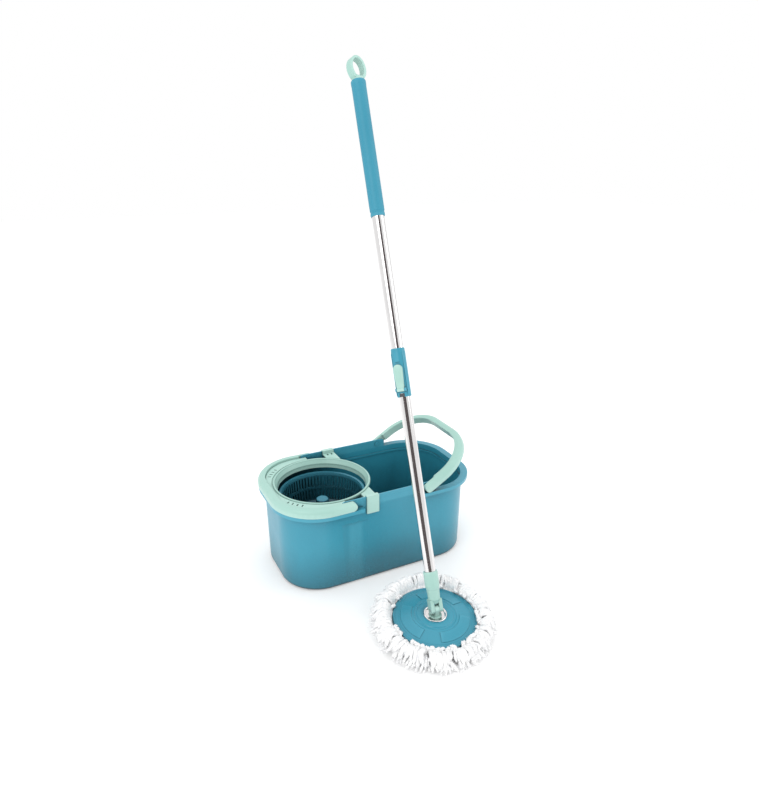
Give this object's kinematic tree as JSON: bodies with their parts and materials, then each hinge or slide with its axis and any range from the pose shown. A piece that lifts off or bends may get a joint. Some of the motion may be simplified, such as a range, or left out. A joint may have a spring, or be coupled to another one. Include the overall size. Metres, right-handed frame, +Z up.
{
  "type": "spin mop",
  "caption": "Spin mop with an oval-ended bucket, wringing basket under a splash ring, swing handles, and a telescopic hand-press mop with a round swivelling microfibre head.",
  "frame": {"origin": "middle of the bucket's base, on the floor", "axes": "+X along the bucket's length away from the basket, +Y to the bucket's back, +Z up; the mop stands on the -Y side"},
  "size_m": [0.468, 0.5903, 1.0422],
  "materials": {
    "teal": "satin moulded",
    "mint": "satin moulded",
    "chrome": "polished",
    "steel": "satin",
    "bronze": "machined",
    "white_plastic": "matte moulded",
    "dark_plastic": "matte moulded",
    "microfibre": "soft pile"
  },
  "bodies": {
    "bucket": {"bucket": "teal", "spindle_pin": "steel", "thrust_washer": "steel", "splash_ring": "mint", "left_handle_pins": "teal", "right_handle_pins": "teal"},
    "basket": {"spin_basket": "teal", "basket_bush": "bronze"},
    "left_handle": {"left_handle": "mint"},
    "right_handle": {"right_handle": "mint"},
    "mop_base": {"swivel_base": "mint", "swivel_washer": "steel", "swivel_screw": "steel"},
    "mop_head": {"mop_disc": "teal", "retaining_cup": "chrome", "pad_ring": "white_plastic", "microfibre_pad": "microfibre"},
    "lower_pole": {"yoke": "mint", "tilt_pin": "steel", "tube_collar": "mint", "yoke_rivet": "steel", "lower_tube": "chrome", "clutch_ring": "bronze", "guide_bush": "dark_plastic"},
    "drive_nut": {"drive_nut": "white_plastic"},
    "upper_pole": {"upper_tube": "chrome", "lock_sleeve": "teal", "clamp_shoe": "dark_plastic", "lever_pin": "steel", "twisted_rod": "steel", "rod_stop": "dark_plastic", "rod_anchor": "dark_plastic", "grip": "teal", "hanging_loop": "mint"},
    "lock_lever": {"lock_lever": "mint"}
  },
  "joints": [
    {"name": "basket_spin", "type": "hinge", "parent": "bucket", "child": "basket", "pos_m": [-0.105, 0, 0.1], "axis": [0, 0, 1], "continuous": true},
    {"name": "left_handle_swing", "type": "hinge", "parent": "bucket", "child": "left_handle", "pos_m": [-0.09, 0, 0.1946], "axis": [0, 1, 0], "range_deg": [0, 120]},
    {"name": "right_handle_swing", "type": "hinge", "parent": "bucket", "child": "right_handle", "pos_m": [0.09, 0, 0.1946], "axis": [0, -1, 0], "range_deg": [-31, 89]},
    {"name": "mop_lift", "type": "slide", "parent": "bucket", "child": "mop_base", "axis": [0, 0, 1], "range_m": [0, 0.3]},
    {"name": "disc_spin", "type": "hinge", "parent": "mop_base", "child": "mop_head", "pos_m": [-0.009, -0.333, 0.05498], "axis": [0, -0.0872, 0.9962], "continuous": true},
    {"name": "pole_tilt", "type": "hinge", "parent": "mop_base", "child": "lower_pole", "pos_m": [-0.009, -0.333, 0.05498], "axis": [0.9986, -0.0521, -0.0046], "range_deg": [0, 105]},
    {"name": "pole_slide", "type": "slide", "parent": "lower_pole", "child": "upper_pole", "axis": [0.0238, 0.374, 0.9271], "range_m": [-0.315, 0.15]},
    {"name": "nut_spin", "type": "hinge", "parent": "lower_pole", "child": "drive_nut", "pos_m": [0.00526, -0.10861, 0.61125], "axis": [0.0238, 0.374, 0.9271], "range_deg": [-610, 1270]},
    {"name": "lever_open", "type": "hinge", "parent": "upper_pole", "child": "lock_lever", "pos_m": [-0.01045, -0.18514, 0.4527], "axis": [0.7109, -0.6583, 0.2473], "range_deg": [0, 110]}
  ],
  "couplings": [
    {"joint": "nut_spin", "follows": "pole_slide", "rad_per_m": -69.813}
  ]
}
